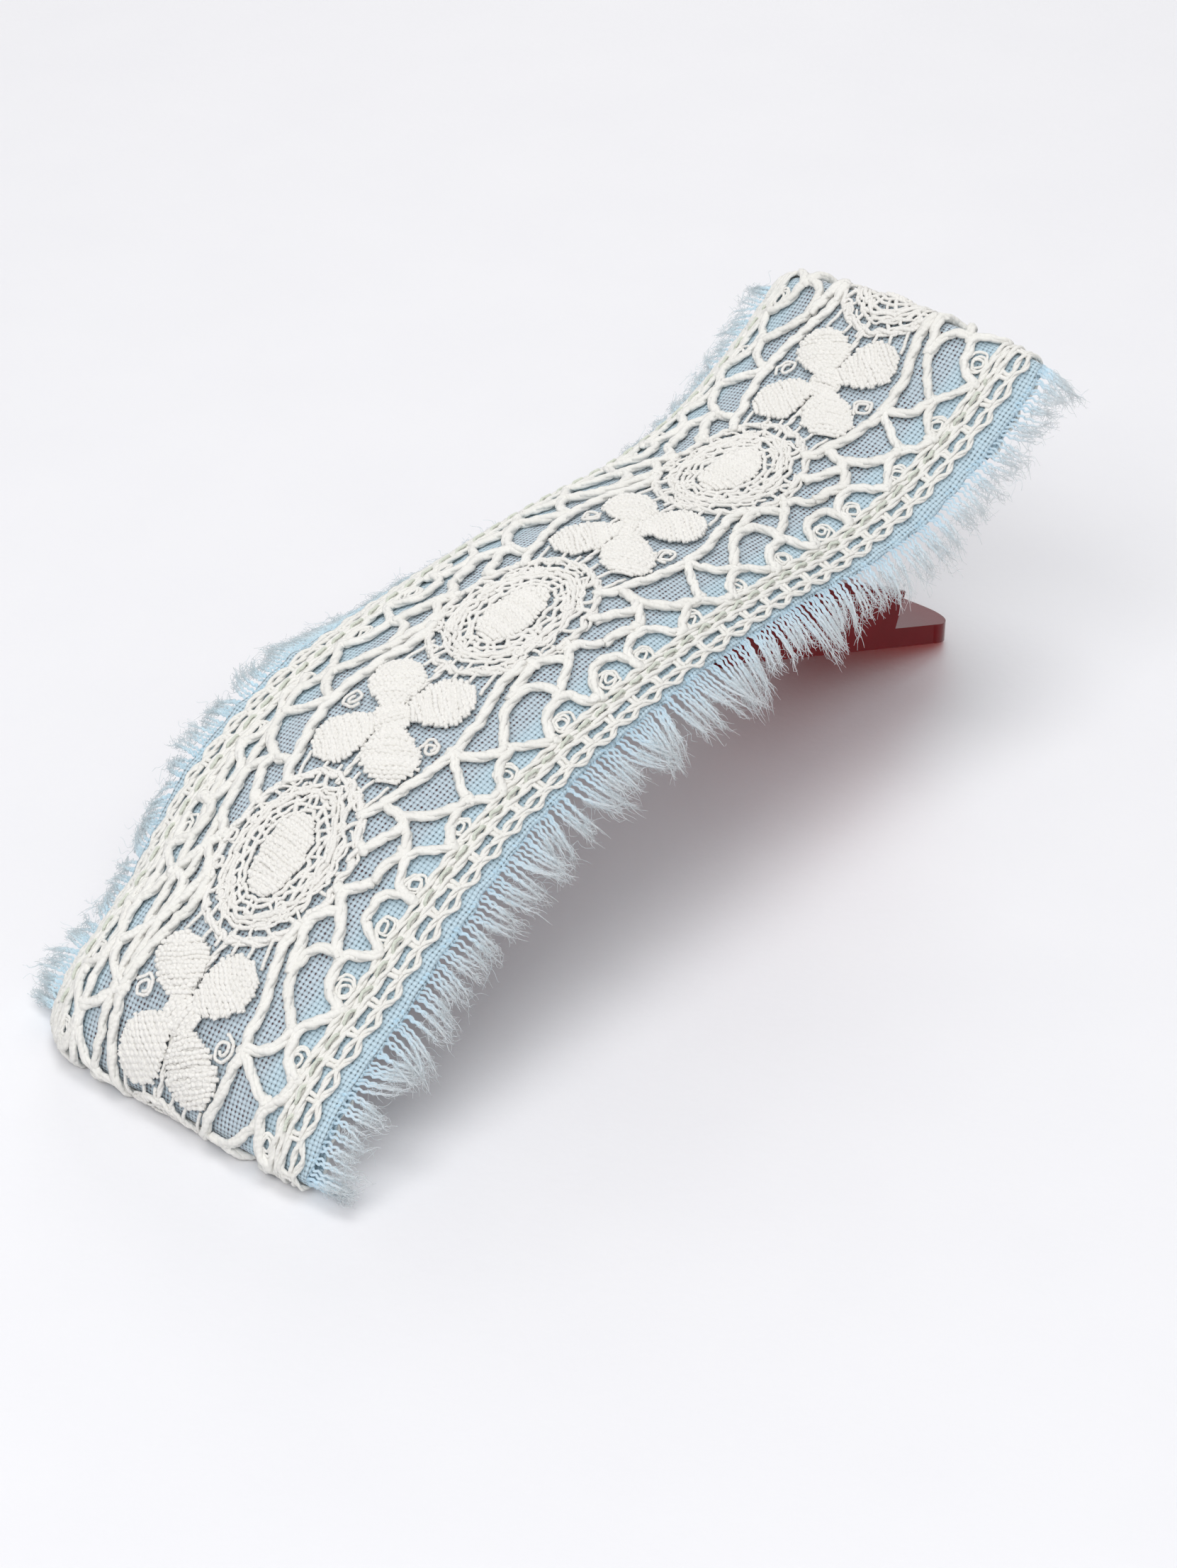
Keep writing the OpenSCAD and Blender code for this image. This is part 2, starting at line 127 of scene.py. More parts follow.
def left_sag(u):
    """How far the free left edge sags below the arch; negative where it lifts."""
    at = (-8, 10, 19, 28, 44, 56, 66, 95, 118)
    return np.interp(u, at, (2.4, 2.4, 0.3, -0.9, -0.9, 0.2, 0.8, 1.6, 2.4))


def place(u, t, h):
    """Points in the frame, in metres: u along the covering, t across, h off the blade's middle layer."""
    u, t, h = (np.asarray(v, float) for v in np.broadcast_arrays(u, t, h))
    # Along the blade, and at each end round the fold and back under it
    nose_turn = np.clip(-u / FOLD_MID, 0, math.pi)
    tab_turn = np.clip((u - BLADE_LEN) / FOLD_MID, 0, math.pi)
    nose_hem = np.clip(-u - math.pi * FOLD_MID, 0, None)
    tab_hem = np.clip(u - BLADE_LEN - math.pi * FOLD_MID, 0, None)
    s = np.where(u < 0, nose_hem, np.where(u > BLADE_LEN, BLADE_LEN - tab_hem, u))
    x, z, slope = middle(s)
    turn = nose_turn + tab_turn
    way = np.where(u < 0, -1.0, 1.0)
    nx, nz = -np.sin(slope), np.cos(slope)
    ox = np.cos(turn) * nx + way * np.sin(turn) * np.cos(slope)
    oz = np.cos(turn) * nz + way * np.sin(turn) * np.sin(slope)
    # The arch from side to side
    fading = np.interp(s, (BLADE_LEN - CROWN_IN, BLADE_LEN), (1, CROWN_AT_TAB))
    share = np.where(s < CROWN_IN, s / CROWN_IN, fading)
    k = np.maximum(share / CROWN_R, 1e-4)
    # Past the weave's edge the fringe runs straight on, and the free left side sags off the arch
    over = np.sign(t) * np.clip(np.abs(t) - FABRIC_HALF, 0, None)
    t = t - over
    past = np.clip((t - SAG_FROM) / SAG_OVER, 0, 1.4)
    sag = left_sag(u)
    droop = (1 - np.cos(t * k)) / k + sag * past ** 2
    droop = droop + over * (np.sin(t * k) + np.minimum(sag, 0) * past / 3)
    tail = np.clip((u - TAIL_FROM) / TAIL_LEN, 0, 1)
    drift = -TAIL_DRIFT * tail * (2 * tail + 1) / 3
    across = np.sin(t * k) / k + over * np.cos(t * k) + drift
    points = np.stack([x + h * ox - droop * nx + SHIFT_X, across, z + h * oz - droop * nz], -1)
    return points * MM


# ---------------------------------------------------------------------------
# Camera, light and floor
# ---------------------------------------------------------------------------
CAMERA_TARGET = (67.08 + SHIFT_X, 4.57, 0.0)  # mm
CAMERA_SIDE = (-0.6430, -0.5223, 0.5602)  # from the target towards the camera
CAMERA_FAR = 365.2  # mm
CAMERA_LENS = 81.37
LIGHTS_AIM = (0.01, 0, 0.01)  # m, like the stage's other sizes
LIGHT_SIZE = 0.5
FLOOR_HALF = 0.5
FLOOR_DROP = 0.00005  # keeps the floor just clear of what rests on it
WORLD_FILL = 0.38  # strength of the surroundings as light
WORLD_SEEN = 0.86  # and as the camera sees them
WHITE = (1.0, 1.0, 1.0)


def make_camera():
    """One camera, in front of the nose, above it and to its right."""
    target = Vector(CAMERA_TARGET) * MM
    back = Vector(CAMERA_SIDE).normalized()
    data = bpy.data.cameras.new("photo_camera")
    data.sensor_width = 36.0
    data.lens = CAMERA_LENS
    data.clip_start = 0.01
    data.clip_end = 20.0
    camera = bpy.data.objects.new("photo_camera", data)
    camera.location = target + back * CAMERA_FAR * MM
    camera.rotation_mode = "QUATERNION"
    camera.rotation_quaternion = (-back).to_track_quat("-Z", "Y")
    bpy.context.scene.collection.objects.link(camera)
    bpy.context.scene.camera = camera


def area_light(name, place_at, power, tint):
    """A soft round panel turned to the clip."""
    data = bpy.data.lights.new(name, "AREA")
    data.shape = "DISK"
    data.size = LIGHT_SIZE
    data.energy = power
    data.color = tint
    light = bpy.data.objects.new(name, data)
    light.location = place_at
    light.rotation_mode = "QUATERNION"
    light.rotation_quaternion = (Vector(LIGHTS_AIM) - Vector(place_at)).to_track_quat("-Z", "Y")
    bpy.context.scene.collection.objects.link(light)


class Nodes:
    """A small builder for one material's nodes."""

    def __init__(self, name):
        self.material = bpy.data.materials.new(name)
        self.material.use_nodes = True
        self.tree = self.material.node_tree
        self.tree.nodes.clear()

    def add(self, kind, inputs=(), **settings):
        node = self.tree.nodes.new(kind)
        for key, value in settings.items():
            setattr(node, key, value)
        for key, value in dict(inputs).items():
            self.feed(node.inputs[key], value)
        return node

    def feed(self, socket, value):
        if isinstance(value, bpy.types.NodeSocket):
            self.tree.links.new(value, socket)
        else:
            socket.default_value = value

    def math(self, operation, *values):
        node = self.tree.nodes.new("ShaderNodeMath")
        node.operation = operation
        for i, value in enumerate(values):
            self.feed(node.inputs[i], value)
        return node.outputs[0]

    def mix(self, share, first, second):
        """A blend of two colours, by the sockets that the node has for colours."""
        node = self.tree.nodes.new("ShaderNodeMix")
        node.data_type = "RGBA"
        self.feed(node.inputs[0], share)
        self.feed(node.inputs[6], first)
        self.feed(node.inputs[7], second)
        return node.outputs[2]

    def blend(self, share, first, second):
        """A blend of two shader nodes."""
        return self.add("ShaderNodeMixShader", {0: share, 1: first.outputs[0], 2: second.outputs[0]})

    def ramp(self, value, low, high, to_low=0.0, to_high=1.0):
        """A soft step from one result to another as the value goes from low to high."""
        node = self.tree.nodes.new("ShaderNodeMapRange")
        node.interpolation_type = "SMOOTHSTEP"
        for i, item in enumerate((value, low, high, to_low, to_high)):
            self.feed(node.inputs[i], item)
        return node.outputs[0]

    def noise(self, scale, detail, roughness=0.5, vector=None):
        """Cloudy noise in the object's own metres, unless another vector is given."""
        node = self.tree.nodes.new("ShaderNodeTexNoise")
        node.inputs["Scale"].default_value = scale
        node.inputs["Detail"].default_value = detail
        node.inputs["Roughness"].default_value = roughness
        if vector is None:
            vector = self.add("ShaderNodeTexCoord").outputs["Object"]
        self.tree.links.new(vector, node.inputs["Vector"])
        return node.outputs["Fac"]

    def bump(self, height, distance, strength=1.0):
        node = self.add("ShaderNodeBump", {"Height": height, "Strength": strength, "Distance": distance})
        return node.outputs["Normal"]

    def finish(self, shader):
        """Wire the shader to the surface and give the material back."""
        output = self.add("ShaderNodeOutputMaterial")
        self.tree.links.new(shader.outputs[0], output.inputs["Surface"])
        return self.material


def colour(r, g, b):
    return (r, g, b, 1.0)


def floor_material():
    """Smooth paper, a little cloudy."""
    n = Nodes("pale_paper")
    tone = n.mix(n.noise(60.0, 4.0), colour(0.80, 0.80, 0.825), colour(0.83, 0.83, 0.85))
    shader = n.add("ShaderNodeBsdfPrincipled", {
        "Base Color": tone,
        "Roughness": 0.75,
        "Normal": n.bump(n.noise(900.0, 2.0), 0.00005),
    })
    return n.finish(shader)


def make_stage():
    """A pale floor, pale surroundings and four soft lights."""
    mesh = bpy.data.meshes.new("floor")
    half = FLOOR_HALF
    corners = [(-half, -half, 0), (half, -half, 0), (half, half, 0), (-half, half, 0)]
    mesh.from_pydata(corners, [], [(0, 1, 2, 3)])
    floor = bpy.data.objects.new("floor", mesh)
    floor.location.z = -FLOOR_DROP
    mesh.materials.append(floor_material())
    bpy.context.scene.collection.objects.link(floor)
    world = bpy.data.worlds.new("studio")
    world.use_nodes = True
    background = world.node_tree.nodes["Background"]
    background.inputs["Color"].default_value = colour(0.97, 0.97, 1.0)
    seen = world.node_tree.nodes.new("ShaderNodeLightPath")
    strength = world.node_tree.nodes.new("ShaderNodeMapRange")
    strength.inputs["To Min"].default_value = WORLD_FILL
    strength.inputs["To Max"].default_value = WORLD_SEEN
    world.node_tree.links.new(seen.outputs["Is Camera Ray"], strength.inputs["Value"])
    world.node_tree.links.new(strength.outputs[0], background.inputs["Strength"])
    bpy.context.scene.world = world
    area_light("overhead", (0.03, 0.0, 0.90), 2.75, WHITE)
    area_light("front_panel", (-0.426, -0.426, 0.669), 2.1, WHITE)
    area_light("left_panel", (-0.602, 0.0, 0.669), 2.2, WHITE)
    area_light("low_back_window", (0.66, 0.50, 0.35), 1.75, (1.0, 0.98, 0.96))
    bpy.context.scene.view_settings.view_transform = "Standard"


# ---------------------------------------------------------------------------
# Threads
# ---------------------------------------------------------------------------
def distance_along(points):
    """The distance of each point of a line from its start."""
    return np.concatenate([[0], np.cumsum(np.linalg.norm(np.diff(points, axis=0), axis=1))])


def rings_round(line, side, up, size, sides, flat=1.0):
    """A ring of points round each point of a line."""
    a = 2 * math.pi * np.arange(sides) / sides
    around = np.cos(a)[None, :, None] * side[:, None] + flat * np.sin(a)[None, :, None] * up[:, None]
    return line[:, None] + size[:, None, None] * around


class Bundle:
    """Many tubes gathered into one mesh."""

    def __init__(self, sides=5):
        self.sides = sides
        self.points, self.quads, self.caps, self.uvs, self.tones = [], [], [], [], []
        self.count = 0

    def rings(self, rings, along, tone):
        """A tube through rings of points, closed at both ends."""
        n, sides = rings.shape[:2]
        index = self.count + np.arange(n * sides).reshape(n, sides)
        following = np.roll(index, -1, axis=1)
        self.quads.append(np.stack([index[:-1], index[1:], following[1:], following[:-1]], -1).reshape(-1, 4))
        self.caps += [index[0], index[-1][::-1]]
        turn = np.arange(sides) / sides
        a, b = np.broadcast_arrays(along[:-1, None], turn[None])
        c, d = np.broadcast_arrays(along[1:, None], turn[None])
        step = 1.0 / sides
        corners = ((a, b), (c, b), (c, b + step), (a, b + step))
        uv = np.stack([np.stack(corner, -1) for corner in corners], 2)
        self.uvs.append(uv.reshape(-1, 2))
        self.points.append(rings.reshape(-1, 3))
        self.tones.append(np.repeat(np.broadcast_to(tone, (n,)), sides))
        self.count += n * sides

    def tube(self, line, radius, tone, flat=1.0, sides=None):
        """A tube along flat points (u, t, h), in mm, that rests on the table where it reaches it."""
        line = np.asarray(line, float)
        if len(line) < 2:
            return
        sides = sides or self.sides
        centre = place(line[:, 0], line[:, 1], line[:, 2])
        up = place(line[:, 0], line[:, 1], line[:, 2] + 0.5) - centre
        up /= np.linalg.norm(up, axis=1)[:, None]
        centre[:, 2] = np.maximum(centre[:, 2], np.asarray(radius, float) * MM)
        tangent = np.gradient(centre, axis=0)
        tangent /= np.maximum(np.linalg.norm(tangent, axis=1), 1e-12)[:, None]
        side = np.cross(tangent, up + 0.003)  # the nudge gives a side to a thread that stands upright
        side /= np.maximum(np.linalg.norm(side, axis=1), 1e-12)[:, None]
        up = np.cross(side, tangent)
        size = np.broadcast_to(np.asarray(radius, float) * MM, (len(line),))
        self.rings(rings_round(centre, side, up, size, sides, flat), distance_along(centre) / MM, tone)

    def make(self, name, material):
        """The bundle as one object, with each thread's own coordinates and tone."""
        mesh = bpy.data.meshes.new(name)
        points = np.concatenate(self.points)
        quads = np.concatenate(self.quads).ravel()
        loops = np.concatenate([quads] + self.caps)
        sizes = np.concatenate([np.full(len(quads) // 4, 4), [len(c) for c in self.caps]]).astype(int)
        starts = np.concatenate([[0], np.cumsum(sizes)[:-1]])
        mesh.vertices.add(len(points))
        mesh.vertices.foreach_set("co", points.astype(np.float32).ravel())
        mesh.loops.add(len(loops))
        mesh.loops.foreach_set("vertex_index", loops.astype(np.int32))
        mesh.polygons.add(len(sizes))
        mesh.polygons.foreach_set("loop_start", starts.astype(np.int32))
        mesh.polygons.foreach_set("use_smooth", np.ones(len(sizes), bool))
        mesh.update(calc_edges=True)
        layer = mesh.uv_layers.new(name="thread")
        uv = np.zeros((len(loops), 2), np.float32)
        known = np.concatenate(self.uvs)
        uv[: len(known)] = known
        layer.data.foreach_set("uv", uv.ravel())
        tone = mesh.attributes.new("tone", "FLOAT", "POINT")
        tone.data.foreach_set("value", np.concatenate(self.tones).astype(np.float32))
        mesh.materials.append(material)
        piece = bpy.data.objects.new(name, mesh)
        bpy.context.scene.collection.objects.link(piece)
        return piece


def smooth(points, step):
    """A smooth curve through flat points, cut at even steps."""
    p = np.asarray(points, float)
    if len(p) > 2:
        q = np.concatenate([[2 * p[0] - p[1]], p, [2 * p[-1] - p[-2]]])
        w = np.linspace(0, 1, 9)[:-1, None]
        parts = []
        for i in range(1, len(q) - 2):
            a, b, c, d = q[i - 1], q[i], q[i + 1], q[i + 2]
            bend = (2 * a - 5 * b + 4 * c - d) * w ** 2
            parts.append(0.5 * (2 * b + (c - a) * w + bend + (3 * b - a - 3 * c + d) * w ** 3))
        p = np.concatenate(parts + [p[-1:]])
    along = distance_along(p)
    at = np.linspace(0, along[-1], max(3, int(math.ceil(along[-1] / step)) + 1))
    return np.stack([np.interp(at, along, p[:, k]) for k in range(p.shape[1])], -1)


def inside_runs(line):
    """The stretches of a line that lie on the covering."""
    keep = (line[:, 0] > LAY_START) & (line[:, 0] < LAY_END)
    edges = np.flatnonzero(np.diff(np.concatenate([[0], keep.astype(int), [0]])))
    for start, stop in zip(edges[::2], edges[1::2]):
        if stop - start > 2:
            yield line[start:stop]


RANDOM = np.random.default_rng(7)


def laid(points, height, step=0.3, wander=0.07):
    """Flat points (u, t) as a line with its height, slightly uneven as handwork is."""
    line = smooth(points, step)
    seed = int(RANDOM.integers(1e6))
    u = line[:, 0] + wander * wobble(line[:, 1] + line[:, 0], seed, 3.5)
    t = line[:, 1] + wander * wobble(line[:, 0] - line[:, 1], seed + 1, 4.5)
    h = height + 0.05 * wobble(line[:, 0] + 2 * line[:, 1], seed + 2, 4.0)
    return np.stack([u, t, h], -1)


def twisted(bundle, line, width, strands=3, pitch=8.0, flat=0.8):
    """Strands twisted round a line into one cord of uneven thickness."""
    share = 0.18 if strands == 3 else 0.2  # each strand's distance from the cord's middle, by its width
    for run in inside_runs(line):
        d = np.gradient(run[:, :2], axis=0)
        size = np.maximum(np.linalg.norm(d, axis=1), 1e-9)
        side = np.stack([-d[:, 1], d[:, 0]], -1) / size[:, None]
        along = np.concatenate([[0], np.cumsum(size[1:])])
        phase = RANDOM.uniform(0, 2 * math.pi)
        shade = RANDOM.uniform(0.2, 0.8)
        swell = 1 + 0.11 * wobble(along, int(RANDOM.integers(1e6)), 2.6)
        for k in range(strands):
            a = 2 * math.pi * (along / pitch + k / strands) + phase
            strand = run.copy()  # each strand circles the line, and is thick enough to press on the others
            strand[:, :2] += side * (share * width * np.cos(a))[:, None]
            strand[:, 2] += flat * share * width * np.sin(a)
            bundle.tube(strand, (0.53 - share) * width * 1.02 * swell, shade + 0.1 * k, flat)


def thread(bundle, line, radius):
    """One plain thread, slightly flattened."""
    for run in inside_runs(line):
        bundle.tube(run, radius, RANDOM.uniform(0.2, 0.8), 0.85)


# ---------------------------------------------------------------------------
# The lace pattern, in mm: p along the ribbon from a group of leaves, q out from its middle
# ---------------------------------------------------------------------------
REPEAT = 34.2
REPEATS = range(-1, 5)
# Where each group of leaves lies on the covering: the repeats aren't quite even
LEAF_CENTRES = (-26.4, 7.4, 40.0, 74.8, 107.2, 141.2)
CORD_H = 2.02  # height of the cords' middle above the blade's middle layer
CORD_STEP = 0.3
CORD_WANDER = 0.12
# The net's cords between the motifs and the arcs
CORDS = (
    ((-10.5, 4.3), (-9.2, 5.2), (-6.7, 6.0), (-4.2, 6.8), (-0.2, 7.4), (3.8, 7.0), (6.8, 6.2), (9.3, 5.5),
     (12.2, 5.6)),
    ((-0.3, 7.5), (-1.5, 8.8), (-2.6, 10.2), (-3.4, 11.5)),
    ((-0.1, 7.5), (0.3, 8.9), (1.5, 10.2), (3.3, 10.9)),
    ((-8.3, 5.9), (-8.4, 7.7), (-7.4, 9.4), (-6.0, 10.6), (-4.5, 11.4), (-3.3, 11.6)),
    ((-15.2, 9.3), (-13.2, 9.4), (-11.3, 10.1), (-10.0, 9.4), (-8.5, 7.9)),
    ((-13.4, 6.7), (-11.5, 7.5), (-9.9, 8.3), (-8.6, 8.3)),
    ((3.2, 10.7), (4.8, 9.3), (6.2, 8.3), (7.8, 7.6), (9.8, 7.8), (10.9, 8.5), (11.4, 9.7), (11.2, 10.7)),
    ((7.7, 7.4), (9.8, 6.9), (11.2, 6.5), (12.9, 6.4), (14.2, 7.2), (15.1, 8.3)),
    ((11.3, 10.3), (12.6, 9.6), (14.2, 8.9), (15.4, 8.1), (16.5, 7.5), (17.6, 8.0), (18.2, 8.8), (19.0, 9.3)),
    ((16.5, 7.5), (16.9, 6.5)),
)
# The arcs that stand on the border
ARCS = (
    ((-14.8, 13.1), (-14.5, 11.7), (-12.8, 10.8), (-11.0, 10.8), (-9.9, 11.7), (-9.2, 12.6), (-8.2, 13.3)),
    ((-8.1, 13.3), (-7.2, 12.4), (-6.0, 11.8), (-4.4, 11.5), (-3.0, 12.2), (-2.1, 13.0), (-0.6, 13.4)),
    ((-0.4, 13.4), (0.4, 12.2), (1.6, 11.4), (3.6, 11.3), (4.8, 12.1), (6.1, 13.0), (6.9, 13.4)),
    ((7.0, 13.4), (7.4, 12.3), (8.4, 11.3), (10.1, 10.8), (11.5, 10.9), (12.3, 12.0), (12.9, 13.0),
     (13.7, 13.3)),
    ((13.8, 13.3), (14.5, 12.0), (15.5, 10.9), (17.0, 10.6), (18.5, 10.9), (19.2, 12.0), (19.4, 13.2)),
)
# Where cords meet in a blob of thread
KNOTS = (
    (-0.2, 7.5), (-8.4, 8.0), (-11.3, 10.1), (3.3, 10.8), (11.3, 10.5), (-3.3, 11.6), (15.3, 8.2),
    (16.5, 7.5), (-8.2, 13.2), (-0.5, 13.3), (7.0, 13.3), (13.7, 13.2), (19.4, 13.1), (12.6, 6.2),
    (-13.0, 6.6),
)
KNOT_HALF = (0.85, 0.62)  # half length and half width of a blob
# Middles of the small loops between the arcs
PICOTS = ((-13.5, 12.7), (-6.3, 12.9), (1.1, 12.8), (8.9, 12.6), (16.0, 12.5))
# Long cords on the left near the nose: distance along the covering and out from its middle
LONG_CORDS = (
    ((-3.0, 8.2), (4.0, 8.3), (12.0, 9.0), (19.0, 10.1), (26.0, 11.8), (31.0, 13.2)),
    ((-3.0, 11.3), (4.0, 11.2), (11.0, 11.7), (18.0, 12.4), (24.0, 13.4)),
    ((8.0, 7.7), (14.0, 8.0), (22.0, 8.6), (30.0, 10.2), (37.0, 11.6), (42.0, 13.2)),
)


def to_u(p):
    """Distance along the covering for a distance along the ribbon."""
    return np.interp(p, [REPEAT * k for k in REPEATS], LEAF_CENTRES)


def on_ribbon(points, repeat, side=1):
    """Pattern points (p, q) as flat points (u, t) in one repeat, on one side of the middle."""
    p = np.asarray(points, float)
    return np.stack([to_u(p[:, 0] + repeat * REPEAT), side * p[:, 1]], -1)


def ellipse(cx, cy, half_p, half_q, start, turns=1.02, count=40):
    """Points round an oval; a little more than one turn lets its ends overlap."""
    a = start + np.linspace(0, 2 * math.pi * turns, count)
    return np.stack([cx + half_p * np.cos(a), cy + half_q * np.sin(a)], -1)


def lace_net():
    """The open net of cords between the borders, with blobs where cords meet and small loops."""
    net = Bundle()
    for repeat in REPEATS:
        for side in (1, -1):
            for pattern, width in ((CORDS, 1.1), (ARCS, 1.02)):
                for cord in pattern:
                    line = laid(on_ribbon(cord, repeat, side), CORD_H, CORD_STEP, CORD_WANDER)
                    twisted(net, line, width * RANDOM.uniform(0.88, 1.08))
            for p, q in KNOTS:
                turn = RANDOM.uniform(0, math.pi)
                share = np.linspace(-1, 1, 9)
                reach = np.array([[math.cos(turn), math.sin(turn)]]) * KNOT_HALF[0] * share[:, None]
                flat = on_ribbon(np.array([[p, q]]) + reach, repeat, side)
                blob = np.concatenate([flat, np.full((9, 1), CORD_H + 0.03)], 1)
                for run in inside_runs(blob):
                    bulge = KNOT_HALF[1] * np.sqrt(np.clip(1.04 - share ** 2, 0, 1))[: len(run)]
                    net.tube(run, bulge, 0.6, 0.6)
            for p, q in PICOTS:
                for size in (1.0, 0.78, 0.5):
                    skew = RANDOM.normal(0, 0.13, 2)
                    ring = ellipse(p + skew[0], q + skew[1], 1.2 * size, 0.95 * size, RANDOM.uniform(0, 6))
                    thread(net, laid(on_ribbon(ring, repeat, side), CORD_H - 0.05, 0.26, 0.14), 0.17)
    for cord in LONG_CORDS:
        twisted(net, laid(cord, CORD_H, CORD_STEP, CORD_WANDER), 0.92)
    return net


# The border's three ropes: distance from the middle, width, length of a twist and height
BORDER_ROPES = ((13.62, 0.72, 4.6, 1.95), (14.22, 0.7, 3.7, 1.88), (14.84, 0.76, 5.2, 1.95))
# The open chain outside them: distance from the middle, swing and height
BORDER_CHAIN = ((15.98, -0.08, 1.9), (16.55, 0.27, 1.88))
CHAIN_LINK = REPEAT / 10


def lace_border(side):
    """Three ropes, an open chain outside them, and the bars that join the two."""
    border = Bundle()
    p = np.arange(-REPEAT, 4 * REPEAT, 0.3)
    u = to_u(p)
    for q, width, pitch, height in BORDER_ROPES:
        q_line = q + 0.07 * wobble(u, int(q * 100) + (side > 0), 5.0)
        line = np.stack([u, side * q_line, height + 0.05 * wobble(u, 5 + int(q * 7), 4.0)], -1)
        twisted(border, line, width, 2, pitch, 0.85)
    wave = np.cos(2 * math.pi * (p - 0.6) / CHAIN_LINK)
    for q, swing, height in BORDER_CHAIN:
        q_line = q + swing * wave + 0.05 * wobble(u, int(q * 100) + side, 6.0)
        line = np.stack([u, side * q_line, height + 0.04 * wobble(u, int(q), 4.0)], -1)
        twisted(border, line, 0.64, 2, 3.4)
    for k in range(-8, 42):
        at = (k + 0.5) * CHAIN_LINK + 0.6
        for shift in (-0.24, 0.2):
            bar = ((at + shift * 1.4, 15.0), (at + shift, 15.5), (at + shift * 1.2, 16.1))
            thread(border, laid(on_ribbon(bar, 0, side), 1.93, 0.25), 0.26)
    return border


# Rings round a medallion's core: half sizes of the oval, thread radius and height; without a radius, a cord
RINGS = (
    (4.9, 2.9, 0.24, 2.0), (5.6, 3.5, 0.22, 1.95), (6.5, 4.1, 0.24, 1.95), (6.95, 4.5, 0.26, 2.04),
    (7.35, 4.85, 0.24, 1.92), (7.85, 5.25, 0.24, 1.98), (9.3, 6.6, 0.0, 1.96), (9.6, 6.9, 0.2, 1.9),
)
# Spokes between the rings: half sizes of the inner and the outer oval, how many, and their radius
SPOKES = (((4.9, 2.8), (6.7, 4.3), 24, 0.21), ((7.6, 5.0), (9.5, 6.7), 22, 0.23))
SATIN_KNOT = 0.62  # length of one knot along a rib of satin stitch
STRAYS = 26  # stray threads over the rings of one medallion
LOOPS = 14  # and tiny loops
MEDALLION_CORE = (4.5, 2.55)


def medallion_rings(bundle, centre, repeat):
    """Rings of thread round the core, joined by short loose spokes, with stray threads over them."""
    for half_p, half_q, radius, height in RINGS:
        shape = ellipse(centre, 0, half_p, half_q, RANDOM.uniform(0, 6), 1.03, 60)
        line = laid(on_ribbon(shape, repeat), height, 0.32, 0.25)
        if radius:
            thread(bundle, line, radius)
        else:
            twisted(bundle, line, 0.8, 2, 4.0)
    for inner, outer, spokes, radius in SPOKES:
        for k in range(spokes):
            a = 2 * math.pi * (k + RANDOM.uniform(-0.32, 0.32)) / spokes
            bend = a + RANDOM.uniform(-0.06, 0.16)
            middle_a = (a + bend) / 2 + RANDOM.uniform(-0.05, 0.05)
            between = ((inner[0] + outer[0]) / 2, (inner[1] + outer[1]) / 2)
            turns = ((inner, a), (between, middle_a), (outer, bend))
            spoke = [(centre + half[0] * math.cos(t), half[1] * math.sin(t)) for half, t in turns]
            thread(bundle, laid(on_ribbon(spoke, repeat), 1.94, 0.4), radius * RANDOM.uniform(0.8, 1.25))
    for _ in range(STRAYS):
        a = RANDOM.uniform(0, 2 * math.pi)
        b = a + RANDOM.uniform(0.25, 0.7)
        low, high = RANDOM.uniform(1.15, 1.75, 2)
        arc = np.linspace(a, b, 6)
        grow = np.linspace(low, high, 6)
        stray = np.stack([centre + 5.4 * grow * np.cos(arc), 3.35 * grow * np.sin(arc) * 1.08], -1)
        thread(bundle, laid(on_ribbon(stray, repeat), 2.08, 0.35, 0.2), 0.16)
    for _ in range(LOOPS):
        a = RANDOM.uniform(0, 2 * math.pi)
        out = RANDOM.choice((1.2, 1.4, 1.7))
        loop = ellipse(centre + 5.45 * out * math.cos(a), 3.6 * out * math.sin(a), 0.55, 0.45, a, 0.95, 12)
        thread(bundle, laid(on_ribbon(loop, repeat), 2.08, 0.3, 0.1), 0.19)


def satin(bundle, centre, turn, half, repeat, base, dome, pitch, power, flare=0.0):
    """Close knotty ribs across an oval, domed, with a serrated rim, over an underlay that fills the gaps."""
    half_len, half_w = half
    count = int(2 * half_len / pitch)
    skew = RANDOM.normal(0, 0.06)
    for k in np.arange(0, count - 0.4, 0.5):
        upper = k == int(k)
        x = -half_len + (k + 0.5) * 2 * half_len / count
        w = half_w * max(0.0, 1 - (x / half_len) ** 2) ** power * (1 + flare * x / half_len)
        w *= 1 + RANDOM.uniform(-0.1, 0.06) - (0.0 if upper else 0.08)
        y = np.arange(-w, w, 0.16)
        slant = x + 0.12 * y + skew * np.abs(y) + 0.09 * np.sin(y * 1.7 + RANDOM.uniform(0, 6))
        p = centre[0] + slant * math.cos(turn) - y * math.sin(turn)
        q = centre[1] + slant * math.sin(turn) + y * math.cos(turn)
        flat = on_ribbon(np.stack([p, q], -1), repeat)
        rise = np.clip(1 - (y / (half_w + 0.2)) ** 2 - 0.6 * (x / half_len) ** 4, 0, 1)
        knot = np.sin(2 * math.pi * y / SATIN_KNOT + math.pi * (k % 2) + RANDOM.uniform(-0.8, 0.8))
        h = base + dome * rise + 0.06 * RANDOM.uniform(-1, 1) + 0.05 * knot - (0.0 if upper else 0.1)
        radius = 0.245 + 0.04 * knot + 0.02 * RANDOM.uniform(-1, 1)
        line = np.stack([flat[:, 0], flat[:, 1], h], -1)
        keep = (line[:, 0] > LAY_START) & (line[:, 0] < LAY_END)
        if keep.all():
            bundle.tube(line, radius, RANDOM.uniform(0.3, 0.8), 0.8, 6)


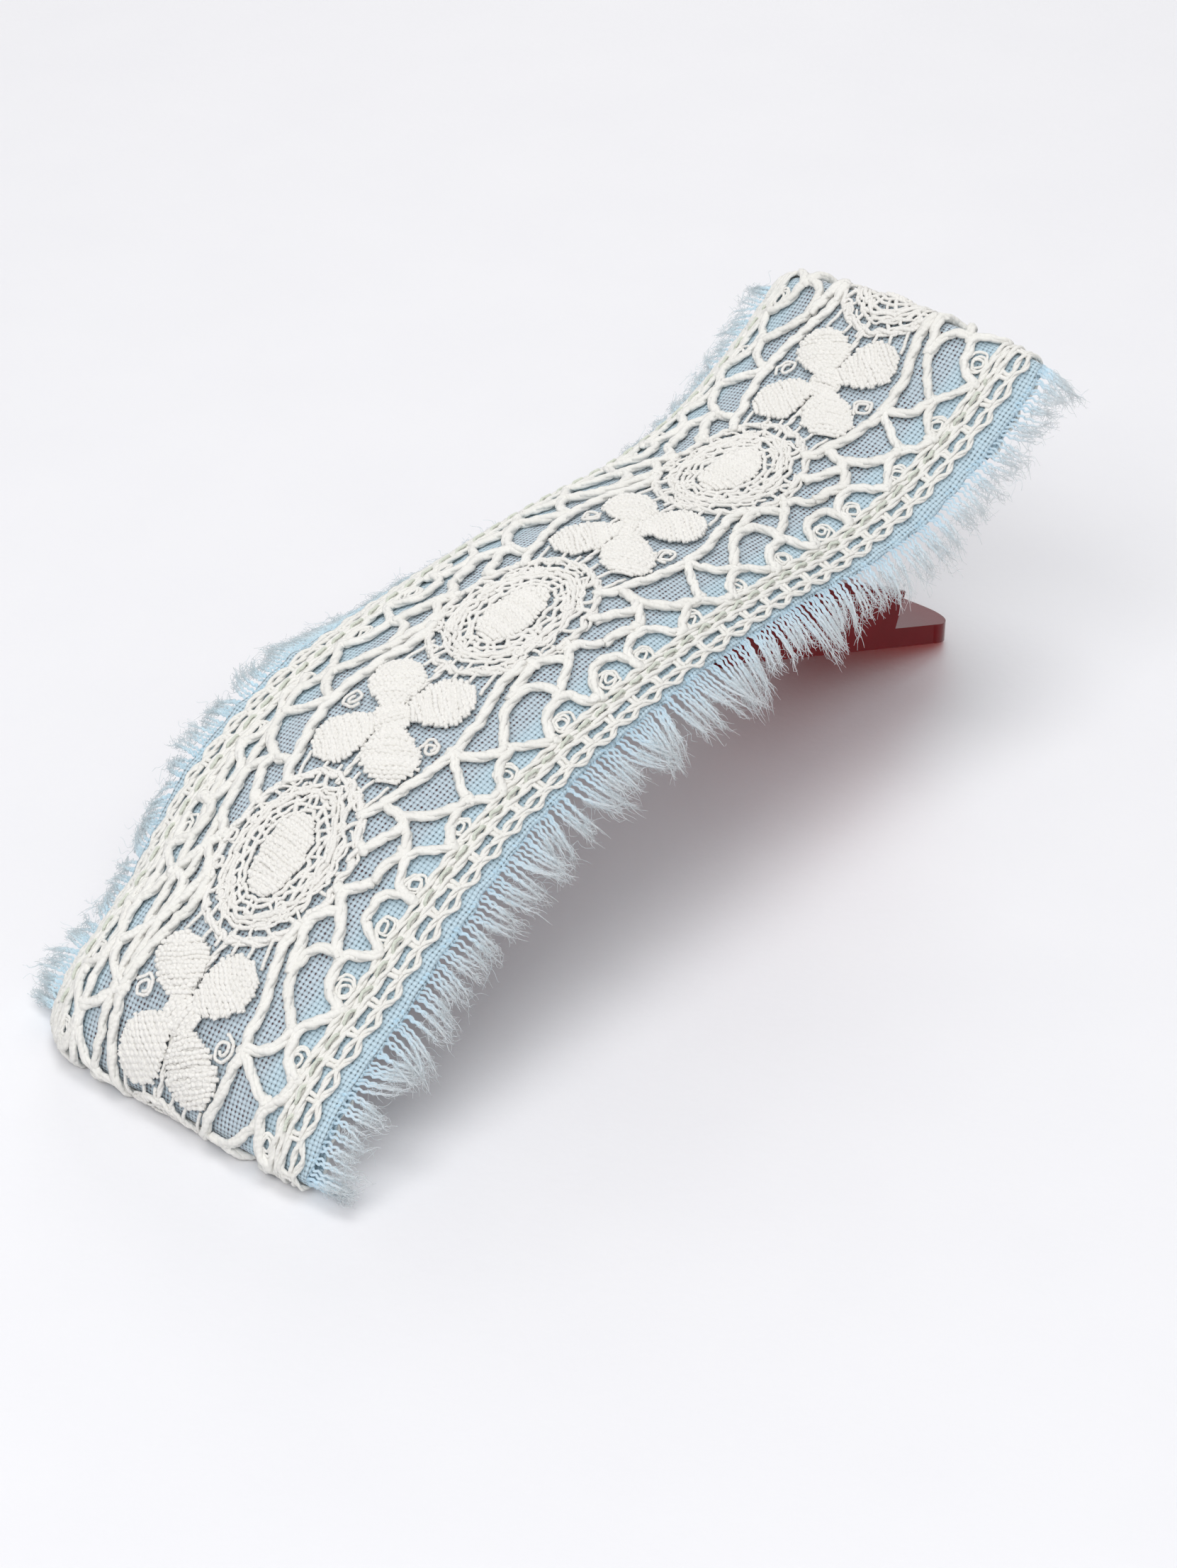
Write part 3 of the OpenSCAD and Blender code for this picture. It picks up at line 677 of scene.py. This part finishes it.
def clump(bundle, p, q, half, repeat, tangles):
    """A small tangle of thread, as where a motif is finished off."""
    for _ in range(tangles):
        a = RANDOM.uniform(0, 2 * math.pi)
        half_p, half_q = half * RANDOM.uniform(0.45, 1.0, 2)
        middle_p = p + RANDOM.normal(0, 0.2) * half
        middle_q = q + RANDOM.normal(0, 0.2) * half
        ring = ellipse(middle_p, middle_q, half_p, half_q, a, 0.9, 16)
        thread(bundle, laid(on_ribbon(ring, repeat), 2.0 + RANDOM.uniform(0, 0.3), 0.3, 0.1), 0.2)


def lace_medallions():
    """The oval medallions, one in each repeat, half way between the groups of leaves."""
    bundle = Bundle()
    for repeat in REPEATS:
        centre = REPEAT / 2
        medallion_rings(bundle, centre, repeat)
        satin(bundle, (centre, 0), 0.0, MEDALLION_CORE, repeat, 1.9, 0.5, 0.45, 0.46)
    return bundle


LEAF_AT = (3.65, 2.75)  # a leaf's middle from the middle of its group
LEAF_HALF = (3.35, 2.85)
LEAF_TURN = math.radians(33)
BUTTON_HALF = (2.1, 1.8)  # the small round where the four leaves meet
CURLS = ((0.5, 5.3), (-1.0, -5.4))
LINK_ROWS = (-4.9, -3.2, -1.5, 0.7, 2.3, 4.6)


def lace_leaves():
    """Groups of four leaves, with the curls beside them and the links to the medallions."""
    bundle = Bundle()
    for repeat in REPEATS:
        for p_side in (1, -1):
            for q_side in (1, -1):
                at = (LEAF_AT[0] * p_side, LEAF_AT[1] * q_side)
                turn = p_side * q_side * LEAF_TURN
                satin(bundle, at, turn, LEAF_HALF, repeat, 1.95, 0.5, 0.44, 0.6, 0.2 * p_side)
        satin(bundle, (0.0, 0.0), RANDOM.uniform(0, 3), BUTTON_HALF, repeat, 2.0, 0.3, 0.44, 0.5)
        clump(bundle, 0.2, 0.1, 1.7, repeat, 4)
        for p_side in (1, -1):
            halfway = (4.0 * p_side, RANDOM.uniform(-0.3, 0.3))
            end = (8.6 * p_side, RANDOM.uniform(-0.4, 0.4))
            stem = ((0.9 * p_side, 0.2), halfway, end)
            twisted(bundle, laid(on_ribbon(stem, repeat), 1.95), 0.6, 2, 3.0)
        for p, q in CURLS:
            turns = np.linspace(0, RANDOM.uniform(9, 12), 40) + RANDOM.uniform(0, 6)
            grow = np.linspace(0.35, 1.25, 40)[:, None]
            curl = (p, q) + grow * np.stack([np.cos(turns), 0.8 * np.sin(turns)], -1)
            thread(bundle, laid(on_ribbon(curl, repeat), 2.0, 0.22, 0.15), 0.19)
        for p_side in (1, -1):
            for q in LINK_ROWS:
                far = 8.3 + 0.09 * q * q
                link = ((p_side * 6.6, q), (p_side * far, q * 0.82))
                thread(bundle, laid(on_ribbon(link, repeat), 1.95, 0.4), 0.2)
    return bundle


# ---------------------------------------------------------------------------
# The woven strip and its frayed edges
# ---------------------------------------------------------------------------
def fabric_strip(material):
    """The weave as one closed sheet, with low waves where it lies free of the blade."""
    u = np.concatenate([np.arange(LAY_START - 0.4, LAY_END + 0.4, 0.5), [LAY_END + 0.4]])
    share = np.linspace(-1, 1, 75)
    grid_u, grid_t = np.meshgrid(u, share, indexing="ij")
    grid_t = grid_t * np.where(grid_t > 0, weave_edge(grid_u, 1), weave_edge(grid_u, -1))
    loose = np.clip((np.abs(grid_t) - 11.5) / 7.0, 0, 1)
    wave = 0.16 * loose * (wobble(grid_u + 0.6 * grid_t, 11, 9.0) + 0.5 * wobble(grid_u - grid_t, 12, 5.0))
    layers = [place(grid_u, grid_t, h + wave * (grid_u > 0)) for h in (FABRIC_TOP, FABRIC_LOW)]
    # Faces of the top, then of the underside, then the walls round the rim
    rows, columns = grid_u.shape
    index = np.arange(rows * columns).reshape(rows, columns)
    top = np.stack([index[:-1, :-1], index[1:, :-1], index[1:, 1:], index[:-1, 1:]], -1).reshape(-1, 4)
    low = top[:, ::-1] + rows * columns
    rim = np.concatenate([index[0, :], index[1:, -1], index[-1, -2::-1], index[-2:0:-1, 0]])
    after = np.roll(rim, -1)
    walls = np.stack([rim, after, after + rows * columns, rim + rows * columns], -1)
    faces = np.concatenate([top, low, walls])
    points = np.concatenate([layer.reshape(-1, 3) for layer in layers])
    mesh = bpy.data.meshes.new("woven_strip")
    mesh.from_pydata(points.tolist(), [], faces.tolist())
    layer = mesh.uv_layers.new(name="weave")
    flat = np.tile(np.stack([grid_u.ravel(), grid_t.ravel()], -1), (2, 1))
    layer.data.foreach_set("uv", flat[faces.ravel()].astype(np.float32).ravel())
    mesh.polygons.foreach_set("use_smooth", np.ones(len(faces), bool))
    mesh.materials.append(material)
    strip = bpy.data.objects.new("woven_strip", mesh)
    bpy.context.scene.collection.objects.link(strip)
    return strip


THREAD_GAP = 0.5  # between two threads of a fringe where they leave the weave
TUFT_GAP = (2.4, 4.6)
TUFT_LEN = (3.7, 4.9)
THREAD_RADIUS = 0.14
THREAD_DRAWN = 22  # of 25 points; the hairs stand for the rest
HAIR_FROM = 9  # the point where a thread starts to open into hairs
HAIRS = 18
HAIR_RADIUS = 0.045
FIBRES = 220  # single loose fibres on each side
FIBRE_RADIUS = 0.02


def fringe(side, seed):
    """Crimped threads that leave the weave one by one and gather into loose tufts with soft tips."""
    rng = np.random.default_rng(seed)
    bundle = Bundle()
    starts = np.arange(-4.5, BLADE_LEN + 4.5, THREAD_GAP)
    tufts = [-6.0]
    while tufts[-1] < BLADE_LEN + 8:
        tufts.append(tufts[-1] + rng.uniform(*TUFT_GAP))
    tufts = np.array(tufts)
    leans = rng.normal(0.1, 1.0, len(tufts))
    lengths = rng.uniform(*TUFT_LEN, len(tufts))
    sinks = rng.uniform(0.2, 1.3, len(tufts))
    for u0 in starts:
        u0 = u0 + rng.normal(0, 0.09)
        own = int(np.argmin(np.abs(tufts - u0 + rng.normal(0, 0.3))))
        root = weave_edge(u0, side) - 0.5
        length = lengths[own] * rng.uniform(0.86, 1.12) + 0.6 * (18.0 - root)
        q = np.linspace(0, 1, 25)
        reach = q * length
        # Crimped where it leaves the weave
        crimp = np.clip(1.2 - reach / 3.2, 0.1, 1)
        phase = rng.normal(0, 0.9)
        bite = rng.uniform(0.74, 0.9)
        du = 0.12 * crimp * np.sin(2 * math.pi * reach / bite + phase)
        dh = 0.07 * crimp * np.cos(2 * math.pi * reach / bite + phase)
        # Drawn into its tuft, which leans and droops
        pull = np.clip((reach - 0.8) / 3.4, 0, 1.2) ** 1.3
        du = du + 0.2 * pull * (tufts[own] - u0) + leans[own] * (reach / 4.5) ** 2
        du = du + rng.normal(0, 0.14) * np.sin(q * rng.uniform(2, 4)) + rng.normal(0, 0.32) * q ** 3
        dh = dh - sinks[own] * (reach / 4.5) ** 2 + rng.normal(0, 0.28) * q ** 2
        line = np.stack([u0 + du, side * (root + reach), 1.35 + dh], -1)
        radius = THREAD_RADIUS - 0.1 * np.clip((q - 0.55) / 0.33, 0, 1) ** 2
        tone = 0.15 + 1.5 * q + rng.normal(0, 0.06)
        bundle.tube(line[:THREAD_DRAWN], radius[:THREAD_DRAWN], tone[:THREAD_DRAWN])
        for _ in range(HAIRS):
            at = HAIR_FROM + rng.integers(0, THREAD_DRAWN - HAIR_FROM)
            heading = (line[at + 3] - line[at]) / 3 * rng.uniform(3.0, 7.0)
            steps = np.linspace(0, 1, 5)[:, None]
            spread = rng.normal(0, 1, 3) * (0.33, 0.2, 0.26)
            bow = rng.normal(0, 1, 3) * (0.3, 0.2, 0.26)
            curl = bow * np.sin(steps * rng.uniform(2, 5))
            hair = line[at] + heading * steps + spread * steps ** 1.3 + curl
            bundle.tube(hair, HAIR_RADIUS * (1 - 0.6 * steps[:, 0]), 1.3 + 0.1 * rng.random(), 1.0, 3)
    for _ in range(FIBRES):
        u0 = rng.uniform(-4, BLADE_LEN + 4)
        steps = np.linspace(0, 1, 12)
        start, reach = rng.uniform(0.5, 3.2), rng.uniform(0.8, 2.4)
        lean = rng.normal(0, 1.3)
        waves = rng.uniform(4, 11)
        line = np.stack([
            u0 + lean * steps ** 1.3 + 0.3 * np.sin(steps * waves + rng.uniform(0, 6)),
            side * (weave_edge(u0, side) + start + reach * steps + 0.25 * np.sin(steps * waves * 0.8)),
            1.2 + rng.normal(0, 0.7) * steps ** 1.5,
        ], -1)
        bundle.tube(line, FIBRE_RADIUS, 1.05, 1.0, 3)
    return bundle


STITCH_LEN = 2.6  # one stitch and the gap after it
STITCH_AT = 14.4  # distance of the seam from the middle


def stitches(side):
    """A running stitch: over the border's middle rope, then down through the fabric."""
    bundle = Bundle(6)
    u = np.arange(3.0, BLADE_LEN - 3.0, 0.12)
    cycle = (u / STITCH_LEN) % 1.0
    lift = np.clip(np.minimum(cycle, 0.66 - cycle) / 0.1, -1.0, 1.0)
    h = 1.92 + 0.42 * lift
    t = side * (STITCH_AT + 0.1 * wobble(u, 31 + side, 3.0))
    bundle.tube(np.stack([u, t, h], -1), 0.17, 0.5)
    return bundle


# ---------------------------------------------------------------------------
# Materials
# ---------------------------------------------------------------------------
TWIST_RIDGE = 0.00006  # m, height of the lines of twist on a thread
WEAVE_PITCH = 0.44  # mm from thread to thread
WEAVE_RIDGE = 0.00016  # m, from the gaps up to the threads


def cotton(name, dark, light, twist_mm=0.55, see_through=0.12, down=0.35, airy=0.0):
    """Spun cotton: fine twist lines along each thread and a soft fuzz; airy thins it towards its tips."""
    n = Nodes(name)
    tone = n.add("ShaderNodeAttribute", attribute_name="tone").outputs["Fac"]
    uv = n.add("ShaderNodeUVMap", uv_map="thread").outputs[0]
    split = n.add("ShaderNodeSeparateXYZ", {"Vector": uv})
    lines = n.math("MULTIPLY_ADD", split.outputs[0], 1 / twist_mm, split.outputs[1])
    wave = n.math("SINE", n.math("MULTIPLY", lines, 2 * math.pi))
    fuzz = n.noise(5200.0, 3.0, 0.7)
    shade = n.math("MULTIPLY_ADD", fuzz, 0.5, n.math("MULTIPLY", tone, 0.5))
    base = n.mix(n.math("MULTIPLY_ADD", wave, 0.08, shade), dark, light)
    height = n.math("MULTIPLY_ADD", wave, 0.35, fuzz)
    shader = n.add("ShaderNodeBsdfPrincipled", {
        "Base Color": base,
        "Roughness": 0.92,
        "Specular IOR Level": 0.15,
        "Sheen Weight": down,
        "Sheen Roughness": 0.6,
        "Normal": n.bump(height, TWIST_RIDGE, 0.8),
    })
    backlit = n.add("ShaderNodeBsdfTranslucent", {"Color": base})
    both = n.blend(see_through, shader, backlit)
    if airy:
        clear = n.add("ShaderNodeBsdfTransparent")
        is_shadow = n.add("ShaderNodeLightPath").outputs["Is Shadow Ray"]
        share = n.math("MAXIMUM", n.ramp(tone, 0.7, 1.5, 0.0, airy), n.math("MULTIPLY", is_shadow, 0.65))
        both = n.blend(share, both, clear)
    return n.finish(both)


def woven_cotton():
    """Loose plain weave: two sets of threads, over and under in turn, with gaps at the corners; its low parts
    and gaps are painted dark as shade.
    """
    n = Nodes("blue_plain_weave")
    uv = n.add("ShaderNodeUVMap", uv_map="weave").outputs[0]
    split = n.add("ShaderNodeSeparateXYZ", {"Vector": uv})
    waver = n.math("MULTIPLY", n.math("SUBTRACT", n.noise(160.0, 2.0), 0.5), 0.5)
    a = n.math("ADD", n.math("MULTIPLY_ADD", split.outputs[0], 1 / WEAVE_PITCH, 500.0), waver)
    b = n.math("ADD", n.math("MULTIPLY_ADD", split.outputs[1], 1 / WEAVE_PITCH, 500.0), waver)
    parity = n.math("MODULO", n.math("ADD", n.math("FLOOR", a), n.math("FLOOR", b)), 2.0)

    def from_middle(value):
        return n.math("MULTIPLY", n.math("ABSOLUTE", n.math("SUBTRACT", n.math("FRACT", value), 0.5)), 2.0)

    def thread_height(across, along, over):
        inside = n.math("SUBTRACT", 1.0, n.math("POWER", across, 2.0))
        crown = n.math("SQRT", n.math("MAXIMUM", inside, 0.0))
        arch = n.math("SUBTRACT", 1.0, n.math("POWER", along, 2.0))
        lift = n.math("MULTIPLY_ADD", n.math("MULTIPLY", over, arch), 0.55, 0.45)
        return n.math("MULTIPLY", crown, lift)

    da, db = from_middle(a), from_middle(b)
    first = thread_height(da, db, parity)
    second = thread_height(db, da, n.math("SUBTRACT", 1.0, parity))
    height = n.math("MAXIMUM", first, second)
    corner = n.add("ShaderNodeCombineXYZ", {0: n.math("ROUND", a), 1: n.math("ROUND", b)}).outputs[0]
    chance = n.add("ShaderNodeTexWhiteNoise", {"Vector": corner}).outputs["Value"]
    under = n.ramp(n.math("ABSOLUTE", split.outputs[1]), 9.6, 11.2)
    tight = n.math("MULTIPLY_ADD", chance, 0.22, n.math("MULTIPLY", under, 0.1))
    hole_a = n.ramp(da, n.math("ADD", tight, 0.30), n.math("ADD", tight, 0.68))
    hole_b = n.ramp(db, n.math("ADD", tight, 0.42), n.math("ADD", tight, 0.78))
    patchy = n.ramp(n.noise(700.0, 3.0), 0.35, 0.62, 0.62, 1.0)
    hole = n.math("MULTIPLY", n.math("MULTIPLY", hole_a, hole_b), patchy)
    # Painted shade: the gaps are painted dark, a shaded dark red over the blade and a shaded blue-grey past
    # it.
    gap = n.mix(under, colour(0.07, 0.012, 0.02), colour(0.16, 0.24, 0.28))
    # Painted shade: by the weave's height, its low parts are painted darker than its raised threads, as shade
    # falls between them.
    tone = n.math("MULTIPLY_ADD", n.noise(2200.0, 3.0, 0.7), 0.5, n.math("MULTIPLY", height, 0.65))
    hollow = n.mix(under, colour(0.26, 0.33, 0.38), colour(0.31, 0.45, 0.53))
    raised = n.mix(under, colour(0.58, 0.68, 0.75), colour(0.57, 0.71, 0.79))
    cloth = n.mix(tone, hollow, raised)
    base = n.mix(hole, cloth, gap)
    shader = n.add("ShaderNodeBsdfPrincipled", {
        "Base Color": base,
        "Roughness": 0.9,
        "Specular IOR Level": 0.15,
        "Sheen Weight": 0.25,
        "Sheen Roughness": 0.6,
        "Normal": n.bump(n.math("SUBTRACT", height, hole), WEAVE_RIDGE, 0.9),
    })
    return n.finish(shader)


def red_plastic(name, dark, light):
    """Moulded red plastic, solid to the camera, that lets red light through on to what it shades."""
    n = Nodes(name)
    tone = n.mix(n.noise(220.0, 3.0), dark, light)
    skin = n.add("ShaderNodeBsdfPrincipled", {
        "Base Color": tone,
        "Roughness": 0.12,
        "IOR": 1.3,
        "Specular IOR Level": 0.14,
        "Specular Tint": colour(1.0, 0.5, 0.5),
        "Normal": n.bump(n.noise(700.0, 2.0), 0.00002, 0.3),
    })
    through = n.add("ShaderNodeBsdfTransparent", {"Color": colour(0.70, 0.13, 0.035)})
    is_shadow = n.add("ShaderNodeLightPath").outputs["Is Shadow Ray"]
    share = n.math("MULTIPLY", is_shadow, 0.94)
    return n.finish(n.blend(share, skin, through))


def drawn_metal(name, dark, light, roughness):
    """Steel with fine lines along the hinge's axis."""
    n = Nodes(name)
    where = n.add("ShaderNodeTexCoord").outputs["Object"]
    drawn = n.add("ShaderNodeMapping", {"Vector": where, "Scale": (9000, 700, 9000)})
    grain = n.noise(1.0, 3.0, 0.6, drawn.outputs[0])
    shader = n.add("ShaderNodeBsdfPrincipled", {
        "Base Color": n.mix(grain, dark, light),
        "Metallic": 1.0,
        "Roughness": n.ramp(grain, 0.2, 0.8, roughness, roughness + 0.15),
        "Normal": n.bump(grain, 0.00001, 0.5),
    })
    return n.finish(shader)


def glue_film():
    """A thin cloudy film of dried glue."""
    n = Nodes("cloudy_glue")
    cloud = n.noise(500.0, 4.0)
    film = n.add("ShaderNodeBsdfPrincipled", {
        "Base Color": n.mix(cloud, colour(0.60, 0.56, 0.46), colour(0.78, 0.75, 0.66)),
        "Roughness": 0.35,
        "Normal": n.bump(cloud, 0.00004, 0.6),
    })
    clear = n.add("ShaderNodeBsdfTransparent")
    share = n.ramp(cloud, 0.3, 0.7, 0.25, 0.55)
    return n.finish(n.blend(share, film, clear))


# ---------------------------------------------------------------------------
# The spring, a smooth round wire in place of the CAD's faceted one
# ---------------------------------------------------------------------------
WIRE_R = 0.55
WIRE_SIDES = 16
COIL_R = 2.2
COIL_TURNS = 5
WIRE_PITCH = 2 * WIRE_R + 0.08
UPPER_LEG = (17.0, 5.5)  # length and slope in degrees
LOWER_LEG = (18.0, -27.0)


def spring_wire(material):
    """The coil round the pin and its two straight legs, as one wire."""
    hinge = np.array([hinge_x + SHIFT_X, hinge_z])
    width = (COIL_TURNS - 0.5) * WIRE_PITCH
    share = np.linspace(0, 1, 220)
    start = 90 + UPPER_LEG[1]
    angle = np.radians(start + share * (COIL_TURNS * 360 - 180 + LOWER_LEG[1] - UPPER_LEG[1]))
    coil_x = hinge[0] + COIL_R * np.cos(angle)
    coil_z = hinge[1] + COIL_R * np.sin(angle)
    coil = np.stack([coil_x, width * (share - 0.5), coil_z], -1)

    def leg(root, length, slope):
        d = np.linspace(0, length, 16)[1:, None]
        a = math.radians(slope)
        return root + d * np.array([math.cos(a), 0, math.sin(a)])

    route = np.concatenate([leg(coil[0], *UPPER_LEG)[::-1], coil, leg(coil[-1], *LOWER_LEG)]) * MM
    tangent = np.gradient(route, axis=0)
    tangent /= np.linalg.norm(tangent, axis=1)[:, None]
    side = np.cross(tangent, (0, 1, 0))
    side /= np.linalg.norm(side, axis=1)[:, None]
    up = np.cross(side, tangent)
    size = np.full(len(route), WIRE_R * MM)
    size[[0, -1]] *= 0.6  # slightly rounded ends
    bundle = Bundle()
    bundle.rings(rings_round(route, side, up, size, WIRE_SIDES), distance_along(route) / MM, 0.5)
    return bundle.make("spring_wire", material)


# ---------------------------------------------------------------------------
# Put it together
# ---------------------------------------------------------------------------
def on_upper(piece, slot, *nodes):
    """Hide the CAD nodes that the piece replaces, and let it ride the upper half; slot is not used."""
    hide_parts(*nodes)
    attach(piece, "upper_half")
    return piece


def repaint(node, material):
    """A new material for a CAD node that keeps its mesh."""
    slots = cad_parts[node].data.materials
    slots.clear()
    slots.append(material)


make_camera()
make_stage()

lace = cotton("cream_lace_cotton", colour(0.85, 0.835, 0.78), colour(0.975, 0.965, 0.925))
satin_lace = cotton("cream_satin_cotton", colour(0.85, 0.83, 0.78), colour(0.975, 0.96, 0.925), 0.4)
frayed = cotton(
    "frayed_blue_cotton", colour(0.60, 0.81, 0.92), colour(0.97, 0.99, 1.0),
    0.5, see_through=0.55, down=0.8, airy=0.4,
)
# Painted light: the left fringe is the same cotton as the right one, painted paler against the shade it hangs
# in.
frayed_left = cotton(
    "frayed_cotton_painted_light", colour(0.66, 0.86, 0.95), colour(0.93, 0.98, 1.0),
    0.5, see_through=0.6, down=0.8, airy=0.5,
)
sewing = cotton("greenish_thread", colour(0.62, 0.66, 0.56), colour(0.80, 0.83, 0.74), 0.4)

strip = on_upper(fabric_strip(woven_cotton()), "blue_cotton", "fabric_strip")
for side, word in ((1, "left"), (-1, "right")):
    made = fringe(side, 40 + side).make("frayed_threads_" + word, frayed if side < 0 else frayed_left)
    on_upper(made, "frayed_cotton", "fringe_" + word)

net = on_upper(lace_net().make("lace_net", lace), "lace_cotton", "lace_ground")
for side, word in ((1, "left"), (-1, "right")):
    made = lace_border(side).make("lace_edge_" + word, lace)
    on_upper(made, "lace_cotton", "lace_border_" + word)
    made = stitches(side).make("running_stitch_" + word, sewing)
    on_upper(made, "sewing_thread", "stitching_" + word)
medallions = lace_medallions().make("lace_medallion_threads", satin_lace)
on_upper(medallions, "lace_cotton", "lace_medallions")
leaves = lace_leaves().make("lace_leaf_threads", satin_lace)
on_upper(leaves, "lace_cotton", "lace_leaves")

wire = spring_wire(drawn_metal("drawn_spring_wire", colour(0.42, 0.42, 0.44), colour(0.66, 0.66, 0.68), 0.28))
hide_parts("torsion_spring")
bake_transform(wire)

# Painted shade: the upper jaw is the same red plastic as the lower jaw, painted darker for the shade of the
# covering over it.
repaint("upper_jaw", red_plastic("shaded_red_plastic", colour(0.04, 0.001, 0.002), colour(0.08, 0.002, 0.004)))
repaint("lower_jaw", red_plastic("dark_red_plastic", colour(0.11, 0.002, 0.003), colour(0.19, 0.004, 0.007)))
repaint("hinge_pin", drawn_metal("drawn_pin_steel", colour(0.55, 0.55, 0.57), colour(0.78, 0.78, 0.8), 0.2))
repaint("glue_layer", glue_film())
